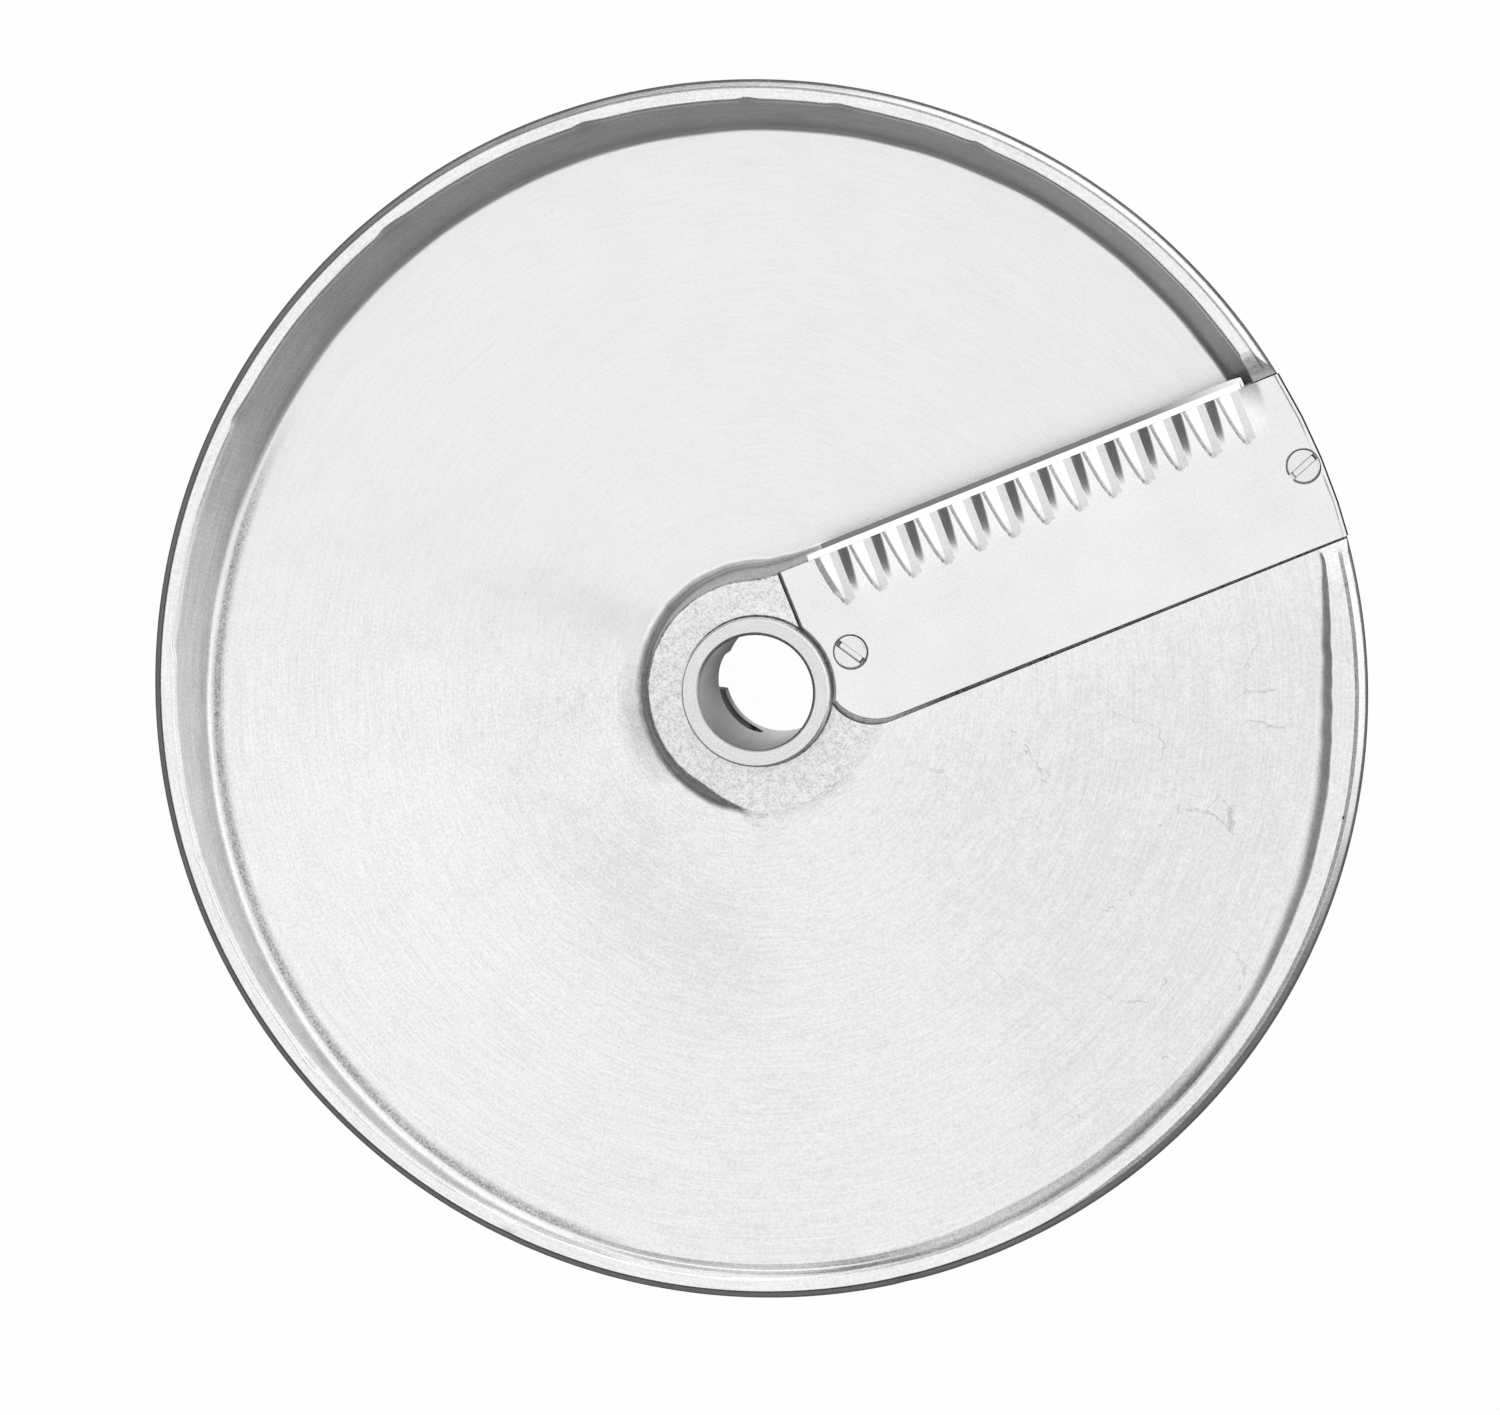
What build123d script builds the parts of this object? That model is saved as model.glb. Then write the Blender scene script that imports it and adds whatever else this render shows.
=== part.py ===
from build123d import *
import math
import os

# Slicing disc of a vegetable cutter: an aluminium casting with a pressed-in steel hub bush
# and a fluted steel blade that two countersunk screws hold down.
# +Z runs up the bore, the blade lies along +X and its cutting edge faces +Y, so the disc
# turns counter-clockwise. The origin is on the axis at the foot of the bush.
# Lengths are millimetres, angles are degrees counter-clockwise from +X.

# Hub bush
bore_radius = 9.65
bush_wall = 2.85
bore_chamfer = 0.5
bush_edge_chamfer = 0.3
bayonet_lip = 3.5
bayonet_width = 6.3
bayonet_entry_angle = 153.5
bayonet_turn = 60.0
bayonet_count = 2
press_clearance = 0.02

# Heights, each measured from the one before, upwards from the foot of the bush
boss_above_bayonet = 1.2
boss_drop = 4.5
foot_stand = 0.5
web_thickness = 3.5
slice_thickness = 10.0
blade_thickness = 2.0
rim_stand = 1.7
hub_stand = 3.5
pad_stand = 0.12

# Rim and cast walls
disc_radius = 102.5
rim_chamfer = 1.25
rim_land = 1.85
rim_outer_draft = 7.0
rim_inner_draft = 20.3
rim_skirt = 4.2
rim_foot_chamfer = 0.6
cast_draft = 7.0
cast_fillet = 3.0
underside_bevel = 2.5
boss_wall = 3.5

# Sloping web: flush with the blade behind it, a slice lower in front of its edge
ramp_low_angle = 120.0
ramp_high_angle = 240.0
ramp_section_count = 9

# Pad round the hub, and its nose beside the inner end of the blade
pad_beyond_blade = 1.7
nose_blend_radius = 20.0
nose_fillet = 1.0
nose_section_count = 10

# Blade
blade_front = 17.0
blade_back = 12.3
blade_inner_end = 11.0
blade_corner_radius = 9.0
blade_outer_corner_radius = 1.0
hub_gap = 0.7
edge_reach = 1.0
edge_start = 16.0
outer_tab = 8.1
bevel_width = 1.4
bevel_height = 0.9
edge_flat = 0.08
land_end_run = 0.25

# Flutes in the blade's top, deepest at the bevel, that widen and run out towards its back
first_flute_inset = 4.4
flute_pitch = 6.045
flute_floor = 1.1
flute_floor_end = 1.8
flute_wall_run = 1.85
last_flute_run = 4.0
flute_length = 8.5
flute_overcut = 0.05
flute_rise = 0.2
flute_station_count = 3

# Blade seat, throat and pocket
pocket_inner_gap = 1.2
pocket_outer_gap = 0.45
pocket_end_gap = 0.9
pocket_corner_radius = 8.0
seat_bar_thickness = 6.0
seat_front = 5.5
seat_undercut = 4.5
seat_back_margin = 2.0
throat_gap = 0.6
ground_run = 4.5

# Blade screws
screw_thread_radius = 1.5
screw_head_radius = 2.82
screw_head_angle = 90.0
screw_length = 7.0
screw_clearance = 0.05
screw_slot_width = 0.8
screw_slot_depth = 0.8
inner_screw_inset = 5.95
inner_screw_offset = 0.3
inner_slot_angle = -58.0
outer_screw_inset = 3.2
outer_screw_offset = 1.1
outer_slot_angle = 20.0

# Spare length by which a cutting shape passes the face that it cuts
overrun = 2.0

# Heights worked out from the values above
bayonet_middle = bayonet_lip + bayonet_width / 2
bayonet_top = bayonet_lip + bayonet_width
boss_foot = bayonet_top + boss_above_bayonet
rim_foot = boss_foot + boss_drop
low_floor = rim_foot + foot_stand + web_thickness
seat_level = low_floor + slice_thickness
blade_top = seat_level + blade_thickness
pad_top = blade_top + pad_stand
rim_top = blade_top + rim_stand
bush_top = blade_top + hub_stand

# Radii and places worked out from the values above
rim_wall_height = rim_top - rim_chamfer - rim_foot
rim_foot_radius = disc_radius - rim_wall_height * math.tan(math.radians(rim_outer_draft))
rim_inner_radius = disc_radius - rim_chamfer - rim_land
skirt_radius = rim_foot_radius - rim_skirt
bush_radius = bore_radius + bush_wall
boss_radius = bush_radius + boss_wall
pad_radius = blade_front + pad_beyond_blade
nose_end_angle = math.degrees(math.atan2(blade_front, edge_start + overrun))
edge_end = disc_radius - outer_tab
edge_line = blade_front + edge_reach
throat_front = edge_line + throat_gap
bevel_back = edge_line - bevel_width
pocket_back = blade_back + pocket_outer_gap
pocket_inner_back = blade_back + pocket_inner_gap
seat_foot = seat_level - seat_bar_thickness
flute_bottom = seat_level + bevel_height - flute_overcut
flute_depth = blade_top - flute_bottom
flute_mouth = blade_top + flute_rise
first_flute = edge_start + first_flute_inset
flutes = int((edge_end - first_flute) / flute_pitch) + 1
screw_head_slope = math.tan(math.radians(screw_head_angle / 2))
screw_head_height = (screw_head_radius - screw_thread_radius) / screw_head_slope
inner_screw = (blade_inner_end + inner_screw_inset, inner_screw_offset)
outer_screw = (disc_radius - outer_screw_inset, outer_screw_offset)


def lean(height, draft):
    """Sideways run of a wall that leans by its draft over a height."""
    return height * math.tan(math.radians(draft))


def radial_plane(angle):
    """Upright plane through the axis: its x runs outwards and its y runs up."""
    turn = math.radians(angle)
    outward = (math.cos(turn), math.sin(turn), 0)
    return Plane(origin=(0, 0, 0), x_dir=outward, z_dir=(math.sin(turn), -math.cos(turn), 0))


def wall_plane(angle):
    """Upright plane on the axis that faces outwards: its x runs counter-clockwise, its y runs up."""
    turn = math.radians(angle)
    outward = (math.cos(turn), math.sin(turn), 0)
    return Plane(origin=(0, 0, 0), x_dir=(-math.sin(turn), math.cos(turn), 0), z_dir=outward)


def web_level(angle):
    """Height of the web's upper face, which eases from the low floor up to the blade's top."""
    share = (angle - ramp_low_angle) / (ramp_high_angle - ramp_low_angle)
    share = min(max(share, 0.0), 1.0)
    return low_floor + (blade_top - low_floor) * share * share * (3 - 2 * share)


def pad_reach(angle):
    """Radius of the pad's upper edge: round the hub, then blended into the nose's straight side."""
    blend_y = blade_front + nose_blend_radius
    blend_x = math.sqrt((pad_radius + nose_blend_radius) ** 2 - blend_y ** 2)
    if angle >= math.degrees(math.atan2(blend_y, blend_x)):
        return pad_radius
    if angle <= math.degrees(math.atan2(blade_front, blend_x)):
        return blade_front / math.sin(math.radians(angle))
    along = blend_x * math.cos(math.radians(angle)) + blend_y * math.sin(math.radians(angle))
    off_centre = blend_x ** 2 + blend_y ** 2 - nose_blend_radius ** 2
    return along - math.sqrt(along ** 2 - off_centre)


def pad_fillet(angle):
    """Fillet at the foot of the pad's wall, which sharpens towards the end of the nose."""
    share = (angle - nose_end_angle) / (ramp_low_angle - nose_end_angle)
    share = min(max(share, 0.0), 1.0)
    return nose_fillet + (cast_fillet - nose_fillet) * share


def cavity_section(angle, level, mouth, inner_wall, outer_wall, ease, inner_size, outer_size):
    """Section of a cast cavity with drafted walls, from its eased floor corners to past its mouth."""
    with BuildSketch(radial_plane(angle)) as section:
        with BuildLine():
            Polyline(
                (inner_wall(mouth), mouth),
                (inner_wall(level), level),
                (outer_wall(level), level),
                (outer_wall(mouth), mouth),
                close=True,
            )
        make_face()
        for wall, size in ((inner_wall, inner_size), (outer_wall, outer_size)):
            floor_corner = section.vertices().sort_by_distance((wall(level), level))[0]
            ease(floor_corner, size)
    return section.sketch


def dish_section(angle):
    """Section of the open dish above the web."""
    return cavity_section(
        angle,
        web_level(angle),
        rim_top + overrun,
        lambda z: pad_reach(angle) + lean(pad_top - z, cast_draft),
        lambda z: rim_inner_radius - lean(rim_top - z, rim_inner_draft),
        fillet,
        pad_fillet(angle),
        cast_fillet,
    )


def underside_section(angle):
    """Section of the hollow under the web, between the hub boss and the rim's skirt."""
    return cavity_section(
        angle,
        web_level(angle) - web_thickness,
        boss_foot - overrun,
        lambda z: boss_radius + lean(z - boss_foot, cast_draft),
        lambda z: skirt_radius - lean(z - rim_foot, cast_draft),
        chamfer,
        underside_bevel,
        underside_bevel,
    )


def flute_section(centre, share, outer_run):
    """Section across a flute, at a share of its length behind the bevel."""
    station = bevel_back - share * flute_length
    bottom = flute_bottom + (flute_depth + flute_overcut) * (share + share ** 2) / 2
    half_floor = (flute_floor + (flute_floor_end - flute_floor) * share) / 2
    rise = (flute_mouth - bottom) / flute_depth
    with BuildSketch(Plane((0, station, 0), x_dir=(1, 0, 0), z_dir=(0, -1, 0))) as section:
        with BuildLine():
            Polyline(
                (centre - half_floor, bottom),
                (centre + half_floor, bottom),
                (centre + half_floor + outer_run * rise, flute_mouth),
                (centre - half_floor - flute_wall_run * rise, flute_mouth),
                close=True,
            )
        make_face()
    return section.sketch


def spread(first, last, count):
    """Evenly spaced values from the first to the last."""
    return [first + (last - first) * index / (count - 1) for index in range(count)]


ramp_angles = spread(ramp_low_angle, ramp_high_angle, ramp_section_count)
nose_angles = spread(nose_end_angle, ramp_low_angle, nose_section_count)
flute_shares = spread(-bevel_width / flute_length, 1.0, flute_station_count)

# Front of the dish, where the low floor runs on to the throat beside the blade
with BuildPart() as front_dish:
    revolve(dish_section(nose_end_angle), Axis.Z, revolution_arc=-nose_end_angle)
    with Locations((0, blade_front, 0)):
        Box(
            4 * disc_radius,
            2 * disc_radius,
            4 * bush_top,
            align=(Align.CENTER, Align.MAX, Align.CENTER),
            mode=Mode.SUBTRACT,
        )

# Aluminium casting: rim, sloping web, hub boss, pad and blade seat in one piece
with BuildPart() as disc_casting:
    # Solid blank with the outline of the rim, the pad and the boss
    with BuildSketch(Plane.XZ) as blank_outline:
        with BuildLine():
            Polyline(
                (0, boss_foot),
                (pad_radius + cast_fillet, boss_foot),
                (pad_radius + cast_fillet, rim_foot),
                (rim_foot_radius, rim_foot),
                (disc_radius, rim_top - rim_chamfer),
                (disc_radius - rim_chamfer, rim_top),
                (pad_radius + 2 * cast_fillet, rim_top),
                (pad_radius + 2 * cast_fillet, pad_top),
                (0, pad_top),
                close=True,
            )
        make_face()
        outer_foot = blank_outline.vertices().sort_by(lambda corner: corner.Y - corner.X)[0]
        chamfer(outer_foot, length=rim_foot_chamfer)
    revolve(axis=Axis.Z)

    # Dish above the web: level behind the blade, sloping, then level again beside the nose
    revolve(
        dish_section(ramp_high_angle),
        Axis.Z,
        revolution_arc=360 - ramp_high_angle,
        mode=Mode.SUBTRACT,
    )
    loft([dish_section(angle) for angle in ramp_angles], mode=Mode.SUBTRACT)
    loft([dish_section(angle) for angle in nose_angles], mode=Mode.SUBTRACT)
    add(front_dish.part, mode=Mode.SUBTRACT)

    # Hollow under the web, which keeps the web's thickness even
    revolve(
        underside_section(ramp_high_angle),
        Axis.Z,
        revolution_arc=360 - ramp_high_angle,
        mode=Mode.SUBTRACT,
    )
    loft([underside_section(angle) for angle in ramp_angles], mode=Mode.SUBTRACT)
    revolve(underside_section(0), Axis.Z, revolution_arc=ramp_low_angle, mode=Mode.SUBTRACT)

    # Bar under the blade, from the boss to the rim, that the blade is screwed to
    with BuildSketch(Plane.YZ.offset(bush_radius)):
        with Locations((-pocket_inner_back - seat_back_margin, seat_foot)):
            Rectangle(
                pocket_inner_back + seat_back_margin + seat_front,
                seat_bar_thickness,
                align=(Align.MIN, Align.MIN),
            )
    extrude(amount=skirt_radius + rim_skirt / 2 - bush_radius)

    # Throat that the slices drop through, with the seat's front undercut
    with BuildSketch(Plane.YZ.offset(edge_start)):
        with BuildLine():
            Polyline(
                (throat_front, rim_top + overrun),
                (throat_front, boss_foot),
                (-overrun, boss_foot),
                (-overrun, seat_foot),
                (seat_front - seat_undercut, seat_foot),
                (seat_front, seat_level),
                (seat_front, rim_top + overrun),
                close=True,
            )
        make_face()
    extrude(amount=edge_end - edge_start, mode=Mode.SUBTRACT)

    # Pocket for the blade, open at the throat and through the rim, wider at its inner end
    with BuildSketch(Plane.XY.offset(seat_level)) as pocket_outline:
        with BuildLine():
            Polyline(
                (blade_inner_end - pocket_end_gap, blade_front),
                (blade_inner_end - pocket_end_gap, -pocket_inner_back),
                (disc_radius, -pocket_back),
                (disc_radius, blade_front),
                close=True,
            )
        make_face()
        pocket_corner = pocket_outline.vertices().sort_by(lambda corner: corner.X + corner.Y)[0]
        fillet(pocket_corner, radius=pocket_corner_radius)
    extrude(amount=rim_top + overrun - seat_level, mode=Mode.SUBTRACT)

    # Rim ends ground down to the blade on both sides of the pocket
    with BuildSketch(Plane.YZ.offset(rim_inner_radius - 2 * cast_fillet)):
        for side, wall in ((1, blade_front), (-1, pocket_back)):
            with BuildLine():
                Polyline(
                    (side * (wall - overrun), pad_top),
                    (side * wall, pad_top),
                    (side * (wall + 2 * ground_run), pad_top + 2 * rim_stand),
                    (side * (wall - overrun), pad_top + 2 * rim_stand),
                    close=True,
                )
            make_face()
    extrude(amount=disc_radius, mode=Mode.SUBTRACT)

    # Seat of the bush, and threaded holes for the screws
    Cylinder(bush_radius + press_clearance, 4 * bush_top, mode=Mode.SUBTRACT)
    with Locations([(x, y, seat_level) for x, y in (inner_screw, outer_screw)]):
        Hole(screw_thread_radius + screw_clearance, depth=screw_length)

# Steel bush pressed into the boss, with bayonet slots for the drive pin milled through its wall
with BuildPart() as hub_bush:
    with BuildSketch(Plane.XZ) as bush_wall:
        with Locations((bore_radius, 0)):
            Rectangle(bush_radius - bore_radius, bush_top, align=(Align.MIN, Align.MIN))
        chamfer(bush_wall.vertices().group_by(Axis.X)[0], length=bore_chamfer)
        chamfer(bush_wall.vertices().group_by(Axis.X)[-1], length=bush_edge_chamfer)
    revolve(axis=Axis.Z)
    for index in range(bayonet_count):
        entry_angle = bayonet_entry_angle + index * 360 / bayonet_count
        with BuildSketch(wall_plane(entry_angle)):
            Rectangle(bayonet_width, 2 * bayonet_middle)
            with Locations((0, bayonet_middle)):
                Circle(bayonet_width / 2)
        extrude(amount=bush_radius + overrun, mode=Mode.SUBTRACT)
        with BuildSketch(wall_plane(entry_angle + bayonet_turn)):
            with Locations((0, bayonet_middle)):
                Circle(bayonet_width / 2)
        extrude(amount=bush_radius + overrun, mode=Mode.SUBTRACT)
        with BuildSketch(radial_plane(entry_angle)):
            with Locations((bush_radius, bayonet_middle)):
                Rectangle(2 * (bush_radius - bore_radius) + overrun, bayonet_width)
        revolve(axis=Axis.Z, revolution_arc=bayonet_turn, mode=Mode.SUBTRACT)

# Steel blade: flat underneath, with a straight ground edge and flutes behind it
with BuildPart() as fluted_blade:
    with BuildSketch(Plane.XY.offset(seat_level)) as blade_outline:
        with Locations((blade_inner_end, -blade_back)):
            Rectangle(disc_radius, blade_back + blade_front, align=(Align.MIN, Align.MIN))
        inner_corner = blade_outline.vertices().sort_by(lambda corner: corner.X + corner.Y)[0]
        fillet(inner_corner, radius=blade_corner_radius)
        with Locations((edge_start, 0)):
            Rectangle(edge_end - edge_start, edge_line, align=(Align.MIN, Align.MIN))
        Circle(disc_radius, mode=Mode.INTERSECT)
        Circle(bush_radius + hub_gap, mode=Mode.SUBTRACT)
        outer_corner = blade_outline.vertices().sort_by(lambda corner: corner.Y - corner.X)[0]
        fillet(outer_corner, radius=blade_outer_corner_radius)
    extrude(amount=blade_thickness)

    # Straight bevel, which also squares off the ends of the lands between the flutes
    with BuildSketch(Plane.YZ.offset(edge_start)):
        with BuildLine():
            Polyline(
                (bevel_back - land_end_run, blade_top + overrun),
                (bevel_back - land_end_run, blade_top),
                (bevel_back, seat_level + bevel_height),
                (edge_line, seat_level + edge_flat),
                (edge_line + overrun, seat_level + edge_flat),
                (edge_line + overrun, blade_top + overrun),
                close=True,
            )
        make_face()
    extrude(amount=edge_end - edge_start, mode=Mode.SUBTRACT)

    # Flutes between the lands; the outermost one runs out into the tab beside it
    for index in range(flutes):
        centre = first_flute + index * flute_pitch
        outer_run = last_flute_run if index == flutes - 1 else flute_wall_run
        loft([flute_section(centre, share, outer_run) for share in flute_shares], mode=Mode.SUBTRACT)

    # Countersunk holes for the screws
    with Locations([(x, y, blade_top) for x, y in (inner_screw, outer_screw)]):
        CounterSinkHole(
            screw_thread_radius + screw_clearance,
            screw_head_radius + screw_clearance,
            counter_sink_angle=screw_head_angle,
        )

# Two slotted countersunk screws, flush with the blade
with BuildPart() as blade_screws:
    for (x, y), slot_angle in ((inner_screw, inner_slot_angle), (outer_screw, outer_slot_angle)):
        with Locations((x, y, blade_top)):
            Cylinder(
                screw_thread_radius,
                screw_length,
                align=(Align.CENTER, Align.CENTER, Align.MAX),
            )
            Cone(
                screw_thread_radius,
                screw_head_radius,
                screw_head_height,
                align=(Align.CENTER, Align.CENTER, Align.MAX),
            )
        with Locations(Location((x, y, blade_top), (0, 0, slot_angle))):
            Box(
                2 * screw_head_radius + overrun,
                screw_slot_width,
                2 * screw_slot_depth,
                mode=Mode.SUBTRACT,
            )

os.makedirs("parts", exist_ok=True)
disc_casting.part.label = "disc_casting"
hub_bush.part.label = "hub_bush"
fluted_blade.part.label = "fluted_blade"
blade_screws.part.label = "blade_screws"
export_step(disc_casting.part, "parts/disc_casting.step")
export_step(hub_bush.part, "parts/hub_bush.step")
export_step(fluted_blade.part, "parts/fluted_blade.step")
export_step(blade_screws.part, "parts/blade_screws.step")
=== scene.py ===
import math

import bmesh
import bpy
from mathutils import Matrix, Vector, noise


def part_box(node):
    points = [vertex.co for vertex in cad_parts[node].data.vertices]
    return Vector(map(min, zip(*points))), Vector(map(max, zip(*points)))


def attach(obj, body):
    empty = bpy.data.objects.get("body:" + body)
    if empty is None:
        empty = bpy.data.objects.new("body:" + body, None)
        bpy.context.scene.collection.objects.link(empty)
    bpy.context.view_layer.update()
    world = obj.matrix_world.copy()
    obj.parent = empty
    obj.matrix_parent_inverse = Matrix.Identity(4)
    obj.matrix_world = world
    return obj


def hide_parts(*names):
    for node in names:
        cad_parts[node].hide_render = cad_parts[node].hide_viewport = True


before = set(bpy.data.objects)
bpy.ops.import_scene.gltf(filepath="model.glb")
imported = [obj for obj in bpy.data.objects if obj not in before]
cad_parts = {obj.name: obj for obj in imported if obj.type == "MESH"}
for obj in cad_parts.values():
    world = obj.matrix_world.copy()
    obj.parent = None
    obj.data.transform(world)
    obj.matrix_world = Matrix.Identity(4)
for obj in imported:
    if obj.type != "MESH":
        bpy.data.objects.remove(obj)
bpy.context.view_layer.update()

scene = bpy.context.scene
scene.view_settings.view_transform = "Standard"

# Disc casting
# One aluminium casting: raised rim, sloping dish, hub pad and the seat of the blade. It was tumbled to
# a satin skin, its dish was brushed, and its rim was dressed with a file and ground at both blade corners.
MM = 0.001
low_floor = 19.5
blade_top = 31.5
pad_top = 31.62
rim_top = 33.2
rim_foot = 15.5
boss_foot = 11.0
web_thickness = 3.5
ramp_low_angle = 120.0
ramp_high_angle = 240.0
bush_seat_radius = 12.52
bush_seat_break = 0.3
pad_radius = 18.7
pad_brow = 0.45
pad_fade = 5.0
pad_fade_height = 0.3
pad_lag = 8.0
pad_lag_start, pad_lag_end = 200.0, 225.0
pad_lag_run = 22.0
pad_wander = (0.12, 7, 3)
nose_side = 17.0
nose_end_angle = 43.36
nose_blend_radius = 20.0
nose_fillet = 1.0
cast_fillet = 2.6
fillet_wander = (0.12, 9, 0)
cast_draft = math.radians(7.0)
rim_inner_radius = 98.95
rim_inner_draft = math.radians(20.3)
rim_lip = 0.35
rim_outer_radius = 102.5
rim_chamfer = 1.4
rim_round = 0.07
rim_turn, rim_turn_below = 0.45, 0.09
rim_wander = (0.1, 11, 0)
toe_wander = (0.1, 6, 8)
rim_foot_break = 0.6
rough_end, rough_end_run, rough_end_wander = 340.0, 14.0, (0.45, 26, 0)
skirt_radius = 96.28
boss_radius = 16.0
underside_bevel = 2.5
casting_steps, fillet_steps, pad_rings, floor_rings, web_rings = 720, 9, 22, 14, 6
brow_steps, lip_steps, round_steps, chamfer_steps = 4, 5, 6, 7
wall_shares, land_shares, outside_shares = (0.4, 0.8), (0.2, 0.45), (0.3, 0.5, 0.7)


def spread(first, last, count):
    """Evenly spaced values from the first to the last."""
    return [first + (last - first) * index / (count - 1) for index in range(count)]


def between(start, end, share):
    """Point at a share of the way from one point to another."""
    return (start[0] + (end[0] - start[0]) * share, start[1] + (end[1] - start[1]) * share)


def eased(start, corner, end, count):
    """Points of a round that leaves one line, bends at a corner and joins the next line."""
    return [
        between(between(start, corner, share), between(corner, end, share), share)
        for share in spread(0, 1, count)
    ]


def gentle(share):
    """Share of a way, kept between nought and one, that starts and ends gently."""
    share = min(max(share, 0.0), 1.0)
    return share * share * (3 - 2 * share)


def web_level(angle):
    """Height of the dish's floor: low in front of the blade, then up the slope to the blade's top."""
    share = (angle - ramp_low_angle) / (ramp_high_angle - ramp_low_angle)
    return low_floor + (blade_top - low_floor) * gentle(share)


def pad_level(angle):
    """Height of the floor at the pad's foot, where the slope's top comes a little later than at the rim."""
    return web_level(angle - pad_lag * gentle((angle - pad_lag_start) / (pad_lag_end - pad_lag_start)))


def pad_reach(angle):
    """Radius of the pad's upper edge: round the hub, then blended into the straight side of its nose."""
    angle = max(angle, nose_end_angle)
    blend_y = nose_side + nose_blend_radius
    blend_x = math.sqrt((pad_radius + nose_blend_radius) ** 2 - blend_y ** 2)
    if angle >= math.degrees(math.atan2(blend_y, blend_x)):
        return pad_radius
    if angle <= math.degrees(math.atan2(nose_side, blend_x)):
        return nose_side / math.sin(math.radians(angle))
    along = blend_x * math.cos(math.radians(angle)) + blend_y * math.sin(math.radians(angle))
    return along - math.sqrt(along ** 2 - blend_x ** 2 - blend_y ** 2 + nose_blend_radius ** 2)


def pad_fillet(angle):
    """Fillet at the foot of the pad's wall, which sharpens towards the end of the nose."""
    share = (angle - nose_end_angle) / (ramp_low_angle - nose_end_angle)
    return nose_fillet + (cast_fillet - nose_fillet) * min(max(share, 0.0), 1.0)


# Inner edge of the rim, which was filed wider and unevenly behind the blade: angle and radius; the fillet
# at its foot: angle and size; and its file marks: angle, length and depth
rim_stations = (
    (0, 98.95), (240, 98.95), (262, 98.75), (284, 98.3), (296, 98.1), (304, 98.0), (318, 97.5), (326, 97.2),
    (336, 96.3), (341, 96.35), (345, 96.75), (348, 97.4), (352, 98.3), (356, 98.8), (361, 98.95),
)
toe_stations = (
    (0, 1.6), (225, 1.6), (258, 3.3), (285, 4.0), (312, 4.2), (326, 4.2), (334, 3.0), (339, 2.6), (344, 2.1),
    (349, 1.3), (361, 1.6),
)
file_marks = (
    (46, 2.2, 0.35), (60, 2.6, 0.3), (69, 1.8, 0.35), (85, 2.8, 0.35), (107, 3.6, 0.45), (131, 3.4, 0.4),
    (154, 3.2, 0.45), (175, 2.4, 0.4), (198, 3.8, 0.4), (223, 3.0, 0.35),
)
file_lift = 2.5


def from_stations(stations, angle):
    """Value at an angle, eased between the stations on both sides of it."""
    for (start, low), (end, high) in zip(stations, stations[1:]):
        if start <= angle < end:
            return low + (high - low) * gentle((angle - start) / (end - start))


def filed(angle):
    """How far the file took the rim's lip back at an angle; each mark ends sharper than it starts."""
    taken = 0.0
    for mark_angle, length, depth in file_marks:
        away = math.radians(angle - mark_angle) * rim_inner_radius / length
        if away > 0:
            away *= file_lift
        taken += depth * math.exp(-away * away)
    return taken


def wander(angle, amount, waves, layer):
    """How far a hand-finished line strays at an angle, by its amount, its waves and its layer of noise."""
    outward = Vector((math.cos(math.radians(angle)), math.sin(math.radians(angle)), 0))
    return amount * noise.noise(outward * waves + Vector((0, 0, layer)))


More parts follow.
